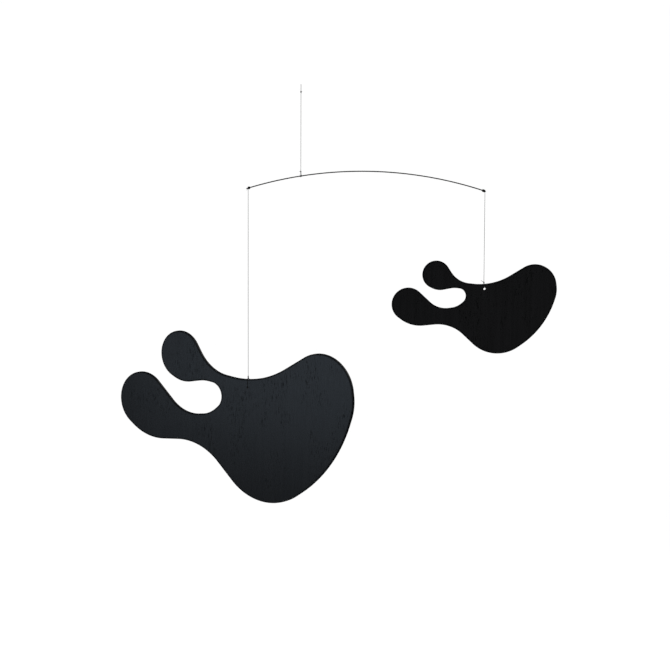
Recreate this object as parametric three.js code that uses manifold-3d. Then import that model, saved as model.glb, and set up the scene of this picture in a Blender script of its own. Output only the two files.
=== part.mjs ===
// A hanging mobile: two black plywood shapes balanced on a bowed spring-steel wire.
//
// Millimetres, +Z up. The origin is the top of the hanging loop, so everything is below it.
// +X runs along the arm to the small panel's end, and -Y is the front.

import * as THREE from 'three';
import { mergeVertices } from 'three/addons/utils/BufferGeometryUtils.js';
import Module from 'manifold-3d';

const wasm = await Module();
wasm.setup();

// ---- Driving dimensions ----

const WIRE = 1.5;                // diameter of the arm's wire
const ARM_SPAN = 321;            // from tip to tip
const ARM_BOW = 524;             // radius of its arc
const ARM_LEAN = degrees(0.45);  // how far the arm hangs down to the right

// Where each thread is tied, measured across the arm from its left tip.
const LARGE_TIE = 2.35;
const HANGING_TIE = 72.7;
const SMALL_TIE = 319.8;

const THREAD = 0.6;              // diameter
const HANGING_DROP = 123;        // from the top of the hanging loop to the arm
const LARGE_DROP = 270.6;        // from the arm to each panel's hole
const SMALL_DROP = 131.8;

const LARGE_SCALE = 1.75;        // the large panel is the small one's outline, this much larger
const LARGE_THICK = 3.5;
const SMALL_THICK = 3;
const LARGE_TURN = degrees(-35); // turn about its thread, right side to the front
const SMALL_TURN = degrees(8);   // right side a little to the back
const LARGE_HOLE = 2.1;          // diameter of each panel's hanging hole
const SMALL_HOLE = 3;
const SMALL_BEARING = 0.85;      // the small panel's thread bears this far left in its hole
const EASE = 0.3;                // softened edges of the plywood

const GAP = 0.3;                 // left between a thread and what it is tied round
const FACET = 0.06;              // how far a flat facet may leave the true curve

function degrees(angle) {
  return THREE.MathUtils.degToRad(angle);
}

// ---- Panels ----

// The small panel's outline, measured from its hanging hole: a closed chain of discs, met
// anticlockwise from the top of the small knob. The cut follows each disc's rim and then runs
// straight to the next one, touching both. A bulge's disc is in the wood, a hollow's outside it.
const bulge = (across, up, radius) => ({ centre: new THREE.Vector2(across, up), bend: radius });
const hollow = (across, up, radius) => ({ centre: new THREE.Vector2(across, up), bend: -radius });
const OUTLINE = {
  smallKnobTop: bulge(-66, 20, 19),
  smallKnobUnderside: bulge(-60.5, 24.5, 25.5),
  bayMouth: hollow(-41.5, -30, 31.5),
  bayEnd: hollow(-36, -9.5, 10.5),
  bayCorner: hollow(-47.5, 0.5, 25.5),
  bayFloor: hollow(-52, 6.5, 32),
  largeKnob: bulge(-104, -19.5, 22.5),
  largeKnobUnderside: bulge(-87, -3.5, 45.5),
  waist: hollow(-64.5, -98.5, 51),
  belly: bulge(19, -38.5, 50),
  flank: bulge(-11.5, 17.5, 113.5),
  shoulderSide: bulge(59, -2, 40.5),
  shoulder: bulge(69, 2.5, 30),
  saddle: hollow(-5.5, 87.5, 81),
  smallKnobShoulder: hollow(-16.5, 42, 34.5),
};

// The direction of the straight cut from one disc to the next.
function heading(from, to) {
  const step = to.centre.clone().sub(from.centre);
  return step.angle() + Math.asin((from.bend - to.bend) / step.length());
}

function outlinePoints(scale) {
  const discs = Object.values(OUTLINE);
  const points = [];
  discs.forEach((disc, i) => {
    const side = Math.sign(disc.bend);
    const start = heading(discs.at(i - 1), disc);
    const end = heading(disc, discs[(i + 1) % discs.length]);
    const turn = side * THREE.MathUtils.euclideanModulo(side * (end - start), 2 * Math.PI);
    const facetAngle = 2 * Math.acos(1 - FACET / (Math.abs(disc.bend) * scale));
    const facets = Math.ceil(Math.abs(turn) / facetAngle);
    for (let k = 0; k <= facets; k++) {
      const along = start + (turn * k) / facets;
      const rim = new THREE.Vector2(Math.sin(along), -Math.cos(along)).multiplyScalar(disc.bend);
      const point = rim.add(disc.centre).multiplyScalar(scale);
      const last = points.at(-1);
      if (!last || last.distanceTo(point) > EASE) points.push(point);
    }
  });
  return points;
}

// A panel upright in the XZ plane, with its hole on the Y axis.
function panelGeometry(scale, thickness, hole) {
  const shape = new THREE.Shape(outlinePoints(scale));
  shape.holes.push(new THREE.Path().absarc(0, 0, hole / 2, 0, 2 * Math.PI, true));
  const depth = thickness - 2 * EASE;
  const edge = { bevelThickness: EASE, bevelSize: EASE, bevelOffset: -EASE, bevelSegments: 1 };
  const geometry = new THREE.ExtrudeGeometry(shape, { depth, curveSegments: 8, ...edge });
  return geometry.translate(0, 0, -depth / 2).rotateX(Math.PI / 2);
}

// How far the wood reaches straight above the hole, at the middle of the saddle.
function woodAboveHole(scale) {
  const { centre, bend } = OUTLINE.saddle;
  return (centre.y - Math.sqrt(bend ** 2 - centre.x ** 2)) * scale;
}

// ---- Arm ----

const ARM_STEPS = 60;

// The arm's slope at a place measured across it from the left tip, as a turn about Y.
function armSlope(across) {
  return Math.asin((across - ARM_SPAN / 2) / ARM_BOW) + ARM_LEAN;
}

// The middle of the wire at a place across the arm. The hanging thread's tie is under the origin.
function armPoint(across) {
  const fromArcCentre = (slope) => new THREE.Vector3(Math.sin(slope), 0, Math.cos(slope));
  const point = fromArcCentre(armSlope(across)).sub(fromArcCentre(armSlope(HANGING_TIE)));
  return point.multiplyScalar(ARM_BOW).add(new THREE.Vector3(0, 0, -HANGING_DROP));
}

class ArmCurve extends THREE.Curve {
  getPoint(t) {
    return armPoint(t * ARM_SPAN);
  }
}

// A round bar or thread along a curve.
function alongCurve(curve, diameter, steps, sides) {
  const section = new THREE.Shape().absarc(0, 0, diameter / 2, 0, 2 * Math.PI);
  return new THREE.ExtrudeGeometry(section, { steps, extrudePath: curve, curveSegments: sides / 2 });
}

// ---- Threads ----

const ROUND = 8;                 // sides of a thread
const RUN_STEP = 12;             // length of a step along a straight thread
const BENT_STEPS = 3;            // steps between two places of a bent thread

function straightThread(from, to) {
  const steps = Math.ceil(from.distanceTo(to) / RUN_STEP);
  return alongCurve(new THREE.LineCurve3(from, to), THREAD, steps, ROUND);
}

// A bent thread through places in the YZ plane, each [y, z].
function bentThread(places) {
  const curve = new THREE.CatmullRomCurve3(places.map(([y, z]) => new THREE.Vector3(0, y, z)));
  return alongCurve(curve, THREAD, BENT_STEPS * places.length, ROUND);
}

const KNOT_WIDTH = 1.7;

function knot(height) {
  const ball = new THREE.SphereGeometry(0.5, 12, 8).rotateX(Math.PI / 2);
  return ball.scale(KNOT_WIDTH, KNOT_WIDTH, height);
}

// Turns of thread packed side by side round the wire, as one sleeve, at a place across the arm.
function turnsRoundArm(across, length, thick) {
  const inner = WIRE / 2 + GAP;
  const outer = inner + thick;
  const end = length / 2;
  const corner = THREAD / 2;
  const profile = [
    [inner, -end], [outer - corner, -end], [outer, corner - end],
    [outer, end - corner], [outer - corner, end], [inner, end], [inner, -end],
  ];
  const sleeve = new THREE.LatheGeometry(profile.map(([r, y]) => new THREE.Vector2(r, y)), 16);
  sleeve.rotateZ(-Math.PI / 2).rotateY(armSlope(across));
  return sleeve.translate(...armPoint(across));
}

// A geometry as a solid that can be joined.
function solidOf(geometry) {
  const bare = geometry.clone().deleteAttribute('normal').deleteAttribute('uv');
  const { attributes, index } = mergeVertices(bare);
  const vertProperties = attributes.position.array;
  const triVerts = new Uint32Array(index.array);
  return new wasm.Manifold(new wasm.Mesh({ numProp: 3, vertProperties, triVerts }));
}

// One closed body from pieces that overlap.
function join(pieces) {
  const whole = pieces.map(solidOf).reduce((joined, solid) => joined.add(solid));
  const { vertProperties, triVerts } = whole.getMesh();
  const geometry = new THREE.BufferGeometry();
  geometry.setAttribute('position', new THREE.BufferAttribute(vertProperties, 3));
  return geometry.setIndex(new THREE.BufferAttribute(triVerts, 1));
}

// The thread that carries the whole mobile: a drop-shaped loop to hang it by, closed by a knot,
// then the straight run, and a second knot. Below it two legs reach down to the arm, to both ends
// of the turns round the wire.
const LOOP_HEIGHT = 10;
const LOOP_WIDTH = 4;
const LOOP_PLACES = 10;
const LOOP_KNOT = 2.8;           // heights of its two knots
const ARM_KNOT = 2.4;
const ARM_KNOT_ABOVE = 6;        // from the wire to the second knot
const ARM_TURNS = 4;             // turns round the wire

// A place on the loop, from 0 at the knot, over the top at 0.5, and back to the knot at 1.
function dropPlace(along) {
  const angle = 2 * Math.PI * along;
  const widest = 4 / Math.sqrt(27);
  const y = (LOOP_WIDTH / 2 / widest) * Math.sin(angle) * Math.sin(angle / 2);
  const fromTop = (LOOP_HEIGHT * (1 + Math.cos(angle))) / 2;
  return [y, -THREAD / 2 - fromTop];
}

function hangingThreadGeometry() {
  const loopPlaces = Array.from({ length: LOOP_PLACES + 1 }, (_, k) => dropPlace(k / LOOP_PLACES));
  const loopKnot = new THREE.Vector3(0, 0, -LOOP_HEIGHT - THREAD);
  const armKnot = new THREE.Vector3(0, 0, ARM_KNOT_ABOVE - HANGING_DROP);
  const turned = ARM_TURNS * THREAD;
  const legs = [-1, 1].map((side) => {
    const foot = armPoint(HANGING_TIE + (side * (turned - THREAD)) / 2);
    return straightThread(armKnot, foot.setZ(foot.z + WIRE / 2 + GAP + THREAD / 2));
  });
  return join([
    bentThread(loopPlaces),
    knot(LOOP_KNOT).translate(...loopKnot),
    straightThread(loopKnot, armKnot),
    knot(ARM_KNOT).translate(...armKnot),
    ...legs,
    turnsRoundArm(HANGING_TIE, turned, THREAD),
  ]);
}

// A panel's thread: turns round the arm's end, the straight run, a knot just above the wood,
// and a loop over the panel's edge and through its hole. The loop follows the panel's turn.
const SLEEVE_THICK = 0.8;        // of the turns round the arm
const CORNER = 0.6;              // where the loop bends round the wood

function panelThreadGeometry(hung) {
  const { tie, sleeve, sleeveShift, drop, knotHeight, tail } = hung;
  const { scale, thickness, turn, hole, bearing } = hung;
  const edge = woodAboveHole(scale);
  const knotAt = edge + GAP + knotHeight / 2;
  const out = thickness / 2 + GAP + THREAD / 2;
  const inHole = Math.sqrt((hole / 2 - GAP - THREAD / 2) ** 2 - bearing ** 2);
  const leg = [
    [out - CORNER, inHole], [out, inHole + 2 * CORNER], [out, edge / 2],
    [out, edge - CORNER], [0.85 * out, edge + CORNER], [0, knotAt],
  ];
  const otherLeg = leg.map(([y, z]) => [-y, z]).reverse();
  const onArm = armPoint(tie);
  const inSleeve = onArm.clone().setZ(onArm.z - (WIRE / 2 + GAP + SLEEVE_THICK / 2));
  const throughPanel = onArm.clone().setZ(onArm.z - drop);
  const knotCentre = throughPanel.clone().setZ(throughPanel.z + knotAt);
  const pieces = [
    bentThread([...otherLeg, [0, inHole], ...leg]).rotateZ(turn).translate(...throughPanel),
    knot(knotHeight).translate(...knotCentre),
    straightThread(knotCentre, inSleeve),
    turnsRoundArm(tie + sleeveShift, sleeve, SLEEVE_THICK),
  ];
  if (tail) pieces.push(straightThread(knotCentre, knotCentre.clone().add(tail)));
  return join(pieces);
}

// ---- The mobile ----

// What hangs at each end of the arm. The turns round the wire are a sleeve of the given length,
// shifted inwards from the run, and the small panel's knot has a cut tail standing up to the left.
const LARGE = {
  tie: LARGE_TIE, sleeve: 3.6, sleeveShift: 1.05, drop: LARGE_DROP, knotHeight: 4,
  scale: LARGE_SCALE, thickness: LARGE_THICK, turn: LARGE_TURN, hole: LARGE_HOLE, bearing: 0,
};
const SMALL = {
  tie: SMALL_TIE, sleeve: 4.8, sleeveShift: -1.8, drop: SMALL_DROP, knotHeight: 3,
  scale: 1, thickness: SMALL_THICK, turn: SMALL_TURN, hole: SMALL_HOLE, bearing: SMALL_BEARING,
  tail: new THREE.Vector3(-3.8, 0, 3),
};

const stainedWood = { color: 0x292b2f, roughness: 0.55, metalness: 0 };
const springSteel = { color: 0x1b1b1d, roughness: 0.4, metalness: 0.8 };
const twistedThread = { color: 0x2b2b2c, roughness: 0.9, metalness: 0 };

function node(name, geometry, finish) {
  const mesh = new THREE.Mesh(geometry, new THREE.MeshStandardMaterial(finish));
  mesh.name = name;
  return mesh;
}

function hungPanel(name, { tie, drop, scale, thickness, turn, hole, bearing }) {
  const geometry = panelGeometry(scale, thickness, hole).translate(bearing, 0, 0);
  const mesh = node(name, geometry, stainedWood);
  mesh.position.copy(armPoint(tie)).add(new THREE.Vector3(0, 0, -drop));
  mesh.rotation.z = turn;
  return mesh;
}

const mobile = new THREE.Group();
mobile.add(
  node('arm', alongCurve(new ArmCurve(), WIRE, ARM_STEPS, 12), springSteel),
  hungPanel('large_panel', LARGE),
  hungPanel('small_panel', SMALL),
  node('hanging_thread', hangingThreadGeometry(), twistedThread),
  node('large_panel_thread', panelThreadGeometry(LARGE), twistedThread),
  node('small_panel_thread', panelThreadGeometry(SMALL), twistedThread),
);

export default mobile;
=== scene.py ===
"""A hanging mobile: two black plywood shapes on fine threads, balanced on a bowed steel wire.

Metres, +Z up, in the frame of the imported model. The origin is the top of the hanging loop, +X runs
along the arm to the small panel's end, and -Y is the front.
"""

from math import asin, ceil, cos, pi, radians, sin, sqrt

import bmesh
import bpy
import numpy as np
from mathutils import Matrix, Vector


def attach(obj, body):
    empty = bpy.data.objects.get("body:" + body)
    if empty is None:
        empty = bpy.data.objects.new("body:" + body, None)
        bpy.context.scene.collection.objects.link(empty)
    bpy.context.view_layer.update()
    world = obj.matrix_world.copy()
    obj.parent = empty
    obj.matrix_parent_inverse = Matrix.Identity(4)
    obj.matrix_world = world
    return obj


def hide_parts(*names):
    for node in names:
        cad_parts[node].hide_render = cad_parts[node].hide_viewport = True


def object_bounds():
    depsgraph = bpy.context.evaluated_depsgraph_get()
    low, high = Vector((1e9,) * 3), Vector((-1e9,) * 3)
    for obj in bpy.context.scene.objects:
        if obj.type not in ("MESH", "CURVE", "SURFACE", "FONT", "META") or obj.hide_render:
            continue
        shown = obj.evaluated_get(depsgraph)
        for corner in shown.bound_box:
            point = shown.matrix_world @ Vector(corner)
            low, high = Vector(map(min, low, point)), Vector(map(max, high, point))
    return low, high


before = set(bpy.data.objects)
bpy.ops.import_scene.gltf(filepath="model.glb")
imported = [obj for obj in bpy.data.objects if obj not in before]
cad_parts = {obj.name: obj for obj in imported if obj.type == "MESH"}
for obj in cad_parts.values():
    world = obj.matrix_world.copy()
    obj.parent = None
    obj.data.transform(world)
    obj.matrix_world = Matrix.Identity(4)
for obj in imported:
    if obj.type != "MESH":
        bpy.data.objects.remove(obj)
cad_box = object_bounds()


# ---- Camera ----
# A long lens a little above the mobile, looking down at it and level to a quarter of a degree.

camera = bpy.data.objects.new("camera", bpy.data.cameras.new("camera"))
bpy.context.collection.objects.link(camera)
bpy.context.scene.camera = camera
camera.data.lens = 150
camera.matrix_world = (
    Matrix.Translation((0.0467, 0, -0.33788))
    @ Matrix.Rotation(radians(90 - 8), 4, "X")
    @ Matrix.Rotation(radians(0.235), 4, "Z")
    @ Matrix.Translation((0, 0, 3.77))
)


# ---- Hanging thread ----
# Three-ply black polyester thread carries the whole mobile. Its top is tied into a small loop for
# a hook. At its foot a second knot holds the two legs that go on to the turns round the wire.

THREAD = 0.0006
TWIST = 0.0019  # the length in which the three plies turn once round each other

PLIES = 3
PLY_POINTS = 5  # points of the section on each ply
PLY_OUT = 0.4  # from the thread's middle to a ply's, as a share of the thread's radius
PLY_RADIUS = 1 - PLY_OUT
SECTION_STEP = 2 * pi / (PLIES * PLY_POINTS)

thread_section = bpy.data.objects.new("thread_section", bpy.data.curves.new("section", "CURVE"))
thread_section.data.dimensions = "3D"
section_line = thread_section.data.splines.new("POLY")
section_line.use_cyclic_u = True
section_line.points.add(PLIES * PLY_POINTS - 1)
for k, point in enumerate(section_line.points):
    from_ply = (k % PLY_POINTS - PLY_POINTS // 2) * SECTION_STEP
    reach = PLY_OUT * cos(from_ply) + sqrt(PLY_RADIUS**2 - (PLY_OUT * sin(from_ply)) ** 2)
    out = reach * THREAD / 2
    point.co = (out * cos(k * SECTION_STEP), out * sin(k * SECTION_STEP), 0, 1)


def respaced(path, step):
    """The same line again, with its points about step apart."""
    path = np.array(path)
    along = np.append(0, np.cumsum(np.linalg.norm(np.diff(path, axis=0), axis=1)))
    stops = np.linspace(0, along[-1], ceil(along[-1] / step) + 1)
    return np.stack([np.interp(stops, along, path[:, axis]) for axis in range(3)], axis=1)


def lay_thread(name, *paths):
    """Twisted thread along each path, as one mesh piece that rides on the mobile."""
    line = bpy.data.curves.new(name, "CURVE")
    line.dimensions, line.twist_mode = "3D", "MINIMUM"
    line.bevel_mode, line.bevel_object, line.use_fill_caps = "OBJECT", thread_section, True
    for path in paths:
        places = respaced(path, TWIST / 10)
        length = np.linalg.norm(np.diff(places, axis=0), axis=1).sum()
        spline = line.splines.new("POLY")
        spline.points.add(len(places) - 1)
        for k, (point, place) in enumerate(zip(spline.points, places)):
            point.co = (*place, 1)
            point.tilt = 2 * pi * length / TWIST * k / (len(places) - 1)
    laid = bpy.data.objects.new(name, line)
    bpy.context.collection.objects.link(laid)
    scene_now = bpy.context.evaluated_depsgraph_get()
    mesh = bpy.data.meshes.new_from_object(laid.evaluated_get(scene_now))
    bpy.data.objects.remove(laid)
    mesh.name = name
    mesh.shade_smooth()
    mesh.materials.clear()
    mesh.materials.append(thread_black)
    piece = bpy.data.objects.new(name, mesh)
    bpy.context.collection.objects.link(piece)
    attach(piece, "root")
    return piece


def add_node(tree, kind, feeds, **settings):
    """A new shader node. Each of its feeds is a plain value, or the output that drives it."""
    node = tree.nodes.new("ShaderNode" + kind)
    for name, value in settings.items():
        setattr(node, name, value)
    for name, value in feeds.items():
        if isinstance(value, bpy.types.NodeSocket):
            tree.links.new(value, node.inputs[name])
        else:
            node.inputs[name].default_value = value
    return node


def new_material(name):
    """A material with nothing in it yet but its object coordinates."""
    material = bpy.data.materials.new(name)
    material.use_nodes = True
    material.node_tree.nodes.clear()
    place = add_node(material.node_tree, "TexCoord", {}).outputs["Object"]
    return material, material.node_tree, place


# The dye is a little uneven along the thread, and fine fibres stand up and catch the light.
thread_black, tree, place = new_material("thread_black")
dye = add_node(tree, "TexNoise", {"Vector": place, "Scale": 900, "Detail": 2})
fibres = add_node(tree, "TexNoise", {"Vector": place, "Scale": 9000, "Detail": 3})
tone = add_node(tree, "ValToRGB", {"Fac": dye.outputs["Fac"]})
tone.color_ramp.elements[0].color = (0.004, 0.004, 0.0045, 1)
tone.color_ramp.elements[1].color = (0.012, 0.012, 0.013, 1)
fuzz = add_node(tree, "Bump", {"Height": fibres.outputs["Fac"], "Strength": 0.6, "Distance": 0.00003})
gloss = add_node(tree, "MapRange", {"Value": fibres.outputs["Fac"], "To Min": 0.55, "To Max": 0.8})
surface = add_node(
    tree,
    "BsdfPrincipled",
    {
        "Base Color": tone.outputs["Color"],
        "Roughness": gloss.outputs["Result"],
        "Normal": fuzz.outputs["Normal"],
        "Specular IOR Level": 0.2,
        "Sheen Weight": 0.04,
    },
)
add_node(tree, "OutputMaterial", {"Surface": surface.outputs["BSDF"]})

WIRE = 0.0015
ARM_SPAN = 0.321
ARM_BOW = 0.524  # radius of the arc
ARM_LEAN = radians(0.45)  # down to the right
HANGING_TIE = 0.0727  # across the arm from its left tip
HANGING_DROP = 0.123  # from the top of the loop to the arm
TURN_STEPS = 24
UP = Vector((0, 0, 1))
FRONT = Vector((0, -1, 0))


def arm_slope(across):
    return asin((across - ARM_SPAN / 2) / ARM_BOW) + ARM_LEAN


def arm_point(across):
    """The middle of the wire, that far across the arm from its left tip."""
    slope, tie = arm_slope(across), arm_slope(HANGING_TIE)
    return Vector((sin(slope) - sin(tie), 0, cos(slope) - cos(tie))) * ARM_BOW - UP * HANGING_DROP


def along_arm(across):
    """The way the wire runs there, to the right."""
    return Vector((cos(arm_slope(across)), 0, -sin(arm_slope(across))))


def coil(centre, axis, radius, turns, pitch, start=0):
    """Turns of thread round an axis that crosses the Y axis, from the given angle off the front."""
    side = axis.cross(FRONT)
    steps = ceil(TURN_STEPS * abs(turns))
    path = []
    for k in range(steps + 1):
        share = k / steps
        angle = start + 2 * pi * turns * share
        level = centre + axis * pitch * abs(turns) * (share - 0.5)
        path.append(level + (FRONT * cos(angle) + side * sin(angle)) * radius)
    return path


def knot(centre, turns):
    """A barrel knot round an upright thread: close turns, both ends tucked into its middle."""
    half = UP * THREAD * turns / 2
    return [centre - half, *coil(centre, UP, 0.95 * THREAD, turns, THREAD), centre + half]


LOOP_HEIGHT = 0.010
LOOP_WIDTH = 0.004
LOOP_STEPS = 80
ARM_KNOT_ABOVE = 0.006
ARM_TURNS = 4

hanging_loop = []
for k in range(LOOP_STEPS + 1):
    angle = 2 * pi * k / LOOP_STEPS
    bulge = sin(angle) * sin(angle / 2) * sqrt(27) / 4
    from_top = LOOP_HEIGHT * (1 + cos(angle)) / 2
    hanging_loop.append(Vector((0, LOOP_WIDTH / 2 * bulge, -0.7 * THREAD - from_top)))
loop_knot = -UP * (LOOP_HEIGHT + THREAD)
arm_knot = UP * (ARM_KNOT_ABOVE - HANGING_DROP)
on_arm = coil(
    arm_point(HANGING_TIE),
    along_arm(HANGING_TIE),
    (WIRE + THREAD) / 2,
    ARM_TURNS - 0.5,
    THREAD,
)

hanging_ties = lay_thread(
    "hanging_thread_ties",
    hanging_loop,
    knot(loop_knot, 4),
    [loop_knot + UP * 0.0006, loop_knot + Vector((0.0014, -0.0004, 0.0009))],
    knot(arm_knot, 3),
    [arm_knot, arm_knot + Vector((-0.0012, -0.0003, 0.0003)), arm_knot + Vector((-0.0021, 0, 0.0001))],
    [arm_knot, *on_arm, arm_knot],
)
hanging_run = [loop_knot, arm_knot]
hanging_thread = lay_thread("hanging_thread_run", hanging_run)
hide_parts("hanging_thread")


# ---- Panel threads ----
# The same thread hangs each panel. Two layers of close turns grip the wire just short of its tip,
# and a loop over the panel's edge and through its hole is closed by a knot right above the wood.


def hang_panel(
    side, tie, turns, shift, drop, wood_above, thickness, turn, hole_width, bearing, knot_turns, tails
):
    """A panel's thread, from the wire down to the loop through the panel's hole."""
    on_arm, hole = arm_point(tie), arm_point(tie) - UP * drop
    middle, axis = arm_point(tie + shift), along_arm(tie + shift)
    inner = coil(middle, axis, (WIRE + THREAD) / 2, turns, THREAD)
    outer = coil(middle, -axis, (WIRE + 2.8 * THREAD) / 2, -turns + 1, THREAD, start=2 * pi * turns)
    in_hole = sqrt(((hole_width - THREAD) / 2) ** 2 - bearing**2)
    leg = []
    for z, angles in ((in_hole + THREAD / 2, range(-90, 1, 15)), (wood_above, range(0, 46, 15))):
        for angle in map(radians, angles):
            y = thickness / 2 + THREAD / 2 * cos(angle)
            leg.append(Vector((0, y, z + THREAD / 2 * sin(angle))))
    knot_centre = wood_above + THREAD * (0.8 + knot_turns / 2)
    leg.append(Vector((0, 0, knot_centre)))
    back_leg = [Vector((0, -place.y, place.z)) for place in reversed(leg)]
    turned = Matrix.Translation(hole) @ Matrix.Rotation(turn, 4, "Z")
    knot_place = hole + UP * knot_centre
    ties = lay_thread(
        side + "_thread_ties",
        [*inner, *outer],
        [turned @ place for place in [*back_leg, *leg]],
        knot(knot_place, knot_turns),
        *([knot_place + UP * a, knot_place + UP * a + Vector(to)] for a, to in tails.get("knot", ())),
        *([on_arm, on_arm + Vector(to)] for to in tails.get("arm", ())),
    )
    run = [on_arm - UP * WIRE / 2, knot_place]
    thread = lay_thread(side + "_thread_run", run)
    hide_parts(side + "_thread")
    return hole


LARGE_THICK = 0.0035
SMALL_THICK = 0.003
LARGE_TURN = radians(-35)
SMALL_TURN = radians(8)
LARGE_HOLE = 0.0021
SMALL_HOLE = 0.003
SMALL_BEARING = 0.00085
large_hole = hang_panel(
    "large_panel",
    tie=0.00235,
    turns=5,
    shift=0.00105,
    drop=0.2706,
    wood_above=0.0117,
    thickness=LARGE_THICK,
    turn=LARGE_TURN,
    hole_width=LARGE_HOLE,
    bearing=0,
    knot_turns=6,
    tails={"arm": [(-0.0019, -0.0012, -0.0028)]},
)
small_hole = hang_panel(
    "small_panel",
    tie=0.3198,
    turns=7,
    shift=-0.0018,
    drop=0.1318,
    wood_above=0.00669,
    thickness=SMALL_THICK,
    turn=SMALL_TURN,
    hole_width=SMALL_HOLE,
    bearing=SMALL_BEARING,
    knot_turns=4,
    tails={"knot": [(0, (-0.0038, 0, 0.003))]},
)
bpy.data.objects.remove(thread_section)


# ---- Arm ----
# One length of 1.5 mm spring-steel wire, drawn, blackened in oil and bowed into a shallow arc.
# Both ends are cut square and have their burr rubbed off.

ARM_STEPS = 160
BURR = 0.00015

arm_form = bmesh.new()
bmesh.ops.create_circle(arm_form, radius=WIRE / 2, segments=24)
bmesh.ops.transform(
    arm_form,
    matrix=Matrix.Translation(arm_point(0)) @ Matrix.Rotation(pi / 2 + arm_slope(0), 4, "Y"),
    verts=arm_form.verts,
)
arc_centre = arm_point(ARM_SPAN / 2) - Vector((sin(ARM_LEAN), 0, cos(ARM_LEAN))) * ARM_BOW
bmesh.ops.spin(
    arm_form,
    geom=arm_form.verts[:] + arm_form.edges[:],
    cent=arc_centre,
    axis=(0, 1, 0),
    angle=arm_slope(ARM_SPAN) - arm_slope(0),
    steps=ARM_STEPS,
)
tips = [edge for edge in arm_form.edges if edge.is_boundary]
bmesh.ops.holes_fill(arm_form, edges=tips)
bmesh.ops.bevel(
    arm_form,
    geom=tips,
    offset=BURR,
    affect="EDGES",
    segments=3,
    profile=0.5,
    material=-1,
)
bmesh.ops.recalc_face_normals(arm_form, faces=arm_form.faces)
arm = bpy.data.objects.new("arm_wire", bpy.data.meshes.new("arm_wire"))
arm_form.to_mesh(arm.data)
arm_form.free()
arm.data.shade_smooth()
bpy.context.collection.objects.link(arm)
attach(arm, "root")
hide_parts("arm")

# Drawing leaves fine lines along the wire, and the black is rubbed thin in places.
blackened_steel, tree, place = new_material("blackened_steel")
along = add_node(tree, "VectorMath", {0: place, 1: (60, 9000, 9000)}, operation="MULTIPLY")
lines = add_node(tree, "TexNoise", {"Vector": along.outputs["Vector"], "Scale": 1, "Detail": 3})
rubbed = add_node(tree, "TexNoise", {"Vector": place, "Scale": 140, "Detail": 4})
tone = add_node(tree, "ValToRGB", {"Fac": rubbed.outputs["Fac"]})
tone.color_ramp.elements[0].position, tone.color_ramp.elements[1].position = 0.45, 0.75
tone.color_ramp.elements[0].color = (0.006, 0.006, 0.0065, 1)
tone.color_ramp.elements[1].color = (0.028, 0.027, 0.026, 1)
gloss = add_node(tree, "MapRange", {"Value": lines.outputs["Fac"], "To Min": 0.3, "To Max": 0.55})
scored = add_node(tree, "Bump", {"Height": lines.outputs["Fac"], "Strength": 0.4, "Distance": 0.00002})
surface = add_node(
    tree,
    "BsdfPrincipled",
    {
        "Base Color": tone.outputs["Color"],
        "Metallic": 0.6,
        "Roughness": gloss.outputs["Result"],
        "Normal": scored.outputs["Normal"],
    },
)
add_node(tree, "OutputMaterial", {"Surface": surface.outputs["BSDF"]})
arm.data.materials.append(blackened_steel)


# ---- Panels ----
# Both panels are the same outline, sawn from three-ply birch: the large one 3.5 mm, the small one
# 3 mm. The edge is eased, the hole drilled, and the whole is stained black and rubbed down, which
# leaves the sawn edge darkest and the upright grain just visible on the faces.

# The small panel's outline in millimetres from its hanging hole: a closed chain of discs, met
# anticlockwise from the top of the small knob. The cut follows each disc's rim and then runs
# straight to the next one, touching both. The rim of a bulge is convex, with a positive radius,
# and that of a hollow has a negative one.
OUTLINE = [
    (-66, 20, 19),  # small knob, top
    (-60.5, 24.5, 25.5),  # small knob, underside
    (-41.5, -30, -31.5),  # mouth of the bay
    (-36, -9.5, -10.5),  # end of the bay
    (-47.5, 0.5, -25.5),  # corner of the bay
    (-52, 6.5, -32),  # floor of the bay
    (-104, -19.5, 22.5),  # large knob
    (-87, -3.5, 45.5),  # large knob, underside
    (-64.5, -98.5, -51),  # waist
    (19, -38.5, 50),  # belly
    (-11.5, 17.5, 113.5),  # flank
    (59, -2, 40.5),  # side of the shoulder
    (69, 2.5, 30),  # shoulder
    (-5.5, 87.5, -81),  # saddle
    (-16.5, 42, -34.5),  # shoulder of the small knob
]
FACET = 0.0011  # length of a step along the outline
EASE = 0.0003
RUBBED = 0.00015  # wood rubbed off the whole edge after sawing
GLUE_LINE = 0.00005  # depth of the groove at each line of glue
GLUE_HALF = 0.00012  # half its width
DARK_RIM = 0.0012  # width of the darkest stain along the outline, which fades over as much again
HOLE_SIDE = 0.004  # the dark rim is left out this near the hanging hole's middle


def heading(disc, following):
    """The direction of the straight cut from one disc's rim to the next."""
    step = Vector(following[:2]) - Vector(disc[:2])
    return np.arctan2(step.y, step.x) + asin((disc[2] - following[2]) / step.length)


def draw_outline(form, scale, outward):
    """The outline as a closed line of edges in the XZ plane, each point knowing its way out."""
    last = None
    for before, disc, after in zip([OUTLINE[-1], *OUTLINE], OUTLINE, [*OUTLINE[1:], OUTLINE[0]]):
        start, end = heading(before, disc), heading(disc, after)
        bend, centre = disc[2] * scale, Vector((disc[0], 0, disc[1])) * scale
        turn = (end - start) % (2 * pi) if bend > 0 else -((start - end) % (2 * pi))
        made = len(form.verts)
        first = form.verts.new(centre + Vector((sin(start), 0, -cos(start))) * bend)
        if last:
            form.edges.new((last, first))
        else:
            opening = first
        swung = bmesh.ops.spin(
            form,
            geom=[first],
            cent=centre,
            axis=(0, -1, 0),
            angle=turn,
            steps=ceil(abs(turn * bend) / FACET),
        )
        last = next(part for part in swung["geom_last"] if isinstance(part, bmesh.types.BMVert))
        form.verts.ensure_lookup_table()
        for vert in form.verts[made:]:
            vert[outward] = (vert.co - centre) / bend
    form.edges.new((last, opening))


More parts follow.
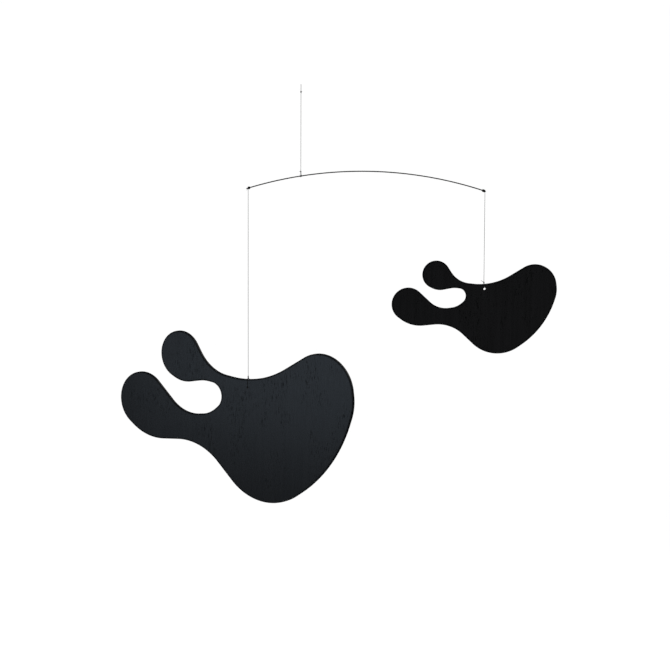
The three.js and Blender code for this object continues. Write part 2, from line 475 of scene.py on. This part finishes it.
def drill_hole(form, width, outward):
    """The hanging hole's rim, as a second closed line."""
    made = len(form.verts)
    bmesh.ops.create_circle(
        form, radius=width / 2, segments=40, matrix=Matrix.Rotation(pi / 2, 4, "X")
    )
    form.verts.ensure_lookup_table()
    for vert in form.verts[made:]:
        vert[outward] = -vert.co.normalized()


def saw_panel(name, scale, thickness, hole, turn, hole_width, bearing):
    """A panel: both lines swept from the front face over the edge to the back, then both faces."""
    form = bmesh.new()
    outward = form.verts.layers.float_vector.new("outward")
    rim = form.verts.layers.float.new("rim")
    draw_outline(form, scale, outward)
    drill_hole(form, hole_width, outward)
    half = thickness / 2
    front = [(2 * DARK_RIM, -half, 0), (1.5 * DARK_RIM, -half, 0.5), (DARK_RIM, -half, 1)]
    front.append((EASE + 0.0001, -half, 1))
    for angle in range(0, 91, 18):
        ease = radians(angle)
        front.append((EASE * (1 - sin(ease)), -half + EASE * (1 - cos(ease)), 1))
    for off, depth in ((GLUE_HALF, 0), (0, GLUE_LINE), (-GLUE_HALF, 0)):
        front.append((depth, -thickness / 6 - off, 1))
    front = [(inset + RUBBED, y, worn) for inset, y, worn in front]
    profile = front + [(inset, -y, worn) for inset, y, worn in reversed(front)]
    line = form.edges[:]
    for vert in form.verts:
        vert.co += Vector((0, profile[0][1], 0)) - Vector(vert[outward]) * profile[0][0]
    front_line = line
    for (inset, y, worn), (next_inset, next_y, next_worn) in zip(profile, profile[1:]):
        swept = bmesh.ops.extrude_edge_only(form, edges=line)["geom"]
        line = [part for part in swept if isinstance(part, bmesh.types.BMEdge)]
        for vert in (part for part in swept if isinstance(part, bmesh.types.BMVert)):
            vert.co += Vector((0, next_y - y, 0)) - Vector(vert[outward]) * (next_inset - inset)
            on_face_by_hole = abs(next_y) == half and Vector((vert.co.x, vert.co.z)).length < HOLE_SIDE
            vert[rim] = 0 if on_face_by_hole else next_worn
    for edges in (front_line, line):
        bmesh.ops.triangle_fill(form, edges=edges, use_beauty=True)
    bmesh.ops.transform(
        form,
        matrix=Matrix.Translation(hole)
        @ Matrix.Rotation(turn, 4, "Z")
        @ Matrix.Translation((bearing, 0, 0)),
        verts=form.verts,
    )
    bmesh.ops.recalc_face_normals(form, faces=form.faces)
    form.verts.layers.float_vector.remove(outward)
    panel = bpy.data.objects.new(name + "_plywood", bpy.data.meshes.new(name + "_plywood"))
    form.to_mesh(panel.data)
    form.free()
    panel.data.shade_smooth()
    panel.data.materials.append(stained_ply(name + "_stain", thickness, hole, turn, bearing))
    bpy.context.collection.objects.link(panel)
    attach(panel, "root")
    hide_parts(name)
    return panel


# Stained grain, for both panels: long pale streaks, short dark pores that lie in drifts, and
# clouds where the stain took unevenly. Towards the sawn edge all of it goes dark.
grain = bpy.data.node_groups.new("stained_grain", "ShaderNodeTree")
grain_inputs = {"Place": "Vector", "Rim": "Float", "Face": "Color", "Pore": "Color", "Edge": "Color"}
grain_outputs = {"Colour": "Color", "Roughness": "Float", "Relief": "Float"}
for way, sockets in (("INPUT", grain_inputs), ("OUTPUT", grain_outputs)):
    for name, kind in sockets.items():
        grain.interface.new_socket(name, in_out=way, socket_type="NodeSocket" + kind)
given = grain.nodes.new("NodeGroupInput").outputs


def grain_noise(stretch, detail, low, high):
    """Noise stretched along the grain, as a mask from 0 to 1 between two of its levels."""
    place = add_node(grain, "VectorMath", {0: given["Place"], 1: stretch}, operation="MULTIPLY")
    noise = add_node(grain, "TexNoise", {"Vector": place.outputs["Vector"], "Scale": 1, "Detail": detail})
    mask = add_node(grain, "MapRange", {"Value": noise.outputs["Fac"], "From Min": low, "From Max": high})
    return mask.outputs["Result"]


def grain_math(operation, first, second):
    return add_node(grain, "Math", {0: first, 1: second}, operation=operation).outputs["Value"]


streaks = grain_noise((300, 300, 10), 3, 0.3, 0.7)
fibres = grain_noise((2200, 2200, 70), 2, 0.25, 0.75)
clouds = grain_noise((16, 16, 9), 2, 0.3, 0.7)
drifts = grain_noise((30, 30, 20), 2, 0.46, 0.6)
pores = grain_math("MULTIPLY", grain_noise((1000, 1000, 150), 1, 0.6, 0.68), drifts)
tone = grain_math("MULTIPLY_ADD", streaks, 0.25)
tone.node.inputs[2].default_value = 0.72
tone = grain_math("ADD", tone, grain_math("MULTIPLY", fibres, 0.08))
tone = grain_math("ADD", tone, grain_math("MULTIPLY", clouds, 0.14))
face = add_node(grain, "VectorMath", {0: given["Face"], "Scale": tone}, operation="SCALE")
pored = add_node(grain, "Mix", {0: pores, 6: face.outputs["Vector"], 7: given["Pore"]}, data_type="RGBA")
edged = add_node(grain, "Mix", {0: given["Rim"], 6: pored.outputs[2], 7: given["Edge"]}, data_type="RGBA")
rough = grain_math("ADD", grain_math("MULTIPLY", fibres, 0.1), grain_math("MULTIPLY", pores, 0.25))
rough = grain_math("ADD", rough, grain_math("MULTIPLY", given["Rim"], 0.25))
rough = grain_math("ADD", rough, 0.22)
relief = grain_math("SUBTRACT", grain_math("MULTIPLY", fibres, 0.3), pores)
results = grain.nodes.new("NodeGroupOutput")
grain.links.new(edged.outputs[2], results.inputs["Colour"])
grain.links.new(rough, results.inputs["Roughness"])
grain.links.new(relief, results.inputs["Relief"])


def stained_ply(name, thickness, hole, turn, bearing):
    """The stain on one panel. Its grain runs up the panel. The thickness is not used."""
    material, tree, place = new_material(name)
    at_hole = {"Vector": place, "Location": hole, "Rotation": (0, 0, turn)}
    to_hole = add_node(tree, "Mapping", at_hole, vector_type="TEXTURE")
    worn = add_node(tree, "Attribute", {}, attribute_name="rim")
    stain = add_node(tree, "Group", {}, node_tree=grain)
    for socket, value in (
        ("Face", (0.0050, 0.0050, 0.0056, 1)),
        ("Pore", (0.0016, 0.0016, 0.0018, 1)),
        ("Edge", (0.0012, 0.0013, 0.0014, 1)),
    ):
        stain.inputs[socket].default_value = value
    tree.links.new(to_hole.outputs["Vector"], stain.inputs["Place"])
    tree.links.new(worn.outputs["Fac"], stain.inputs["Rim"])
    height = stain.outputs["Relief"]
    relief = add_node(tree, "Bump", {"Height": height, "Strength": 0.25, "Distance": 0.00004})
    surface = add_node(
        tree,
        "BsdfPrincipled",
        {
            "Base Color": stain.outputs["Colour"],
            "Roughness": stain.outputs["Roughness"],
            "Normal": relief.outputs["Normal"],
            "Specular IOR Level": 0.4,
        },
    )
    add_node(tree, "OutputMaterial", {"Surface": surface.outputs["BSDF"]})
    return material


saw_panel("large_panel", 0.00175, LARGE_THICK, large_hole, LARGE_TURN, LARGE_HOLE, 0)
saw_panel(
    "small_panel", 0.001, SMALL_THICK, small_hole, SMALL_TURN, SMALL_HOLE, SMALL_BEARING
)


# ---- Studio ----
# A white floor well below the mobile and plain white all round. A long, low soft light in front of
# it to the left shines on the large panel's face, and one behind gives the backs their sheen.

floor_form = bmesh.new()
bmesh.ops.create_grid(floor_form, size=60)
bmesh.ops.translate(floor_form, vec=(0, 0, cad_box[0].z - 0.6), verts=floor_form.verts)
floor = bpy.data.objects.new("floor", bpy.data.meshes.new("floor"))
floor_form.to_mesh(floor.data)
floor_form.free()
floor.visible_glossy = False
bpy.context.collection.objects.link(floor)
white_floor, tree, place = new_material("white_floor")
paint = add_node(tree, "BsdfDiffuse", {"Color": (0.9, 0.9, 0.9, 1)})
add_node(tree, "OutputMaterial", {"Surface": paint.outputs["BSDF"]})
floor.data.materials.append(white_floor)


def soft_light(name, place, aim, width, height, power, colour):
    light = bpy.data.objects.new(name, bpy.data.lights.new(name, "AREA"))
    light.data.shape, light.data.size, light.data.size_y = "RECTANGLE", width, height
    light.data.energy, light.data.color = power, colour
    light.location = place
    light.rotation_euler = (Vector(aim) - Vector(place)).to_track_quat("-Z", "Y").to_euler()
    light.visible_camera = False
    bpy.context.collection.objects.link(light)


middle = (cad_box[0] + cad_box[1]) / 2
soft_light("left_light", (-0.8, -1.0, -0.57), middle, 2.2, 0.3, 2.4, (0.66, 0.82, 1))
soft_light("back_light", (1.3, 1.6, 0.3), middle, 1.2, 0.8, 8, (1, 0.98, 0.95))

# The camera sees white all round, and so does the floor, but the sheen shows a dim room.
room = bpy.data.worlds.new("room")
bpy.context.scene.world = room
room.use_nodes = True
room.node_tree.nodes.clear()
ray = add_node(room.node_tree, "LightPath", {}).outputs
bright = add_node(room.node_tree, "Mix", {0: ray["Is Glossy Ray"], 2: 1.12, 3: 0.03}, data_type="FLOAT")
sky = add_node(room.node_tree, "Background", {"Color": (1, 1, 1, 1), "Strength": bright.outputs[0]})
add_node(room.node_tree, "OutputWorld", {"Surface": sky.outputs["Background"]})
bpy.context.scene.view_settings.view_transform = "Standard"
bpy.context.scene.view_settings.look = "None"
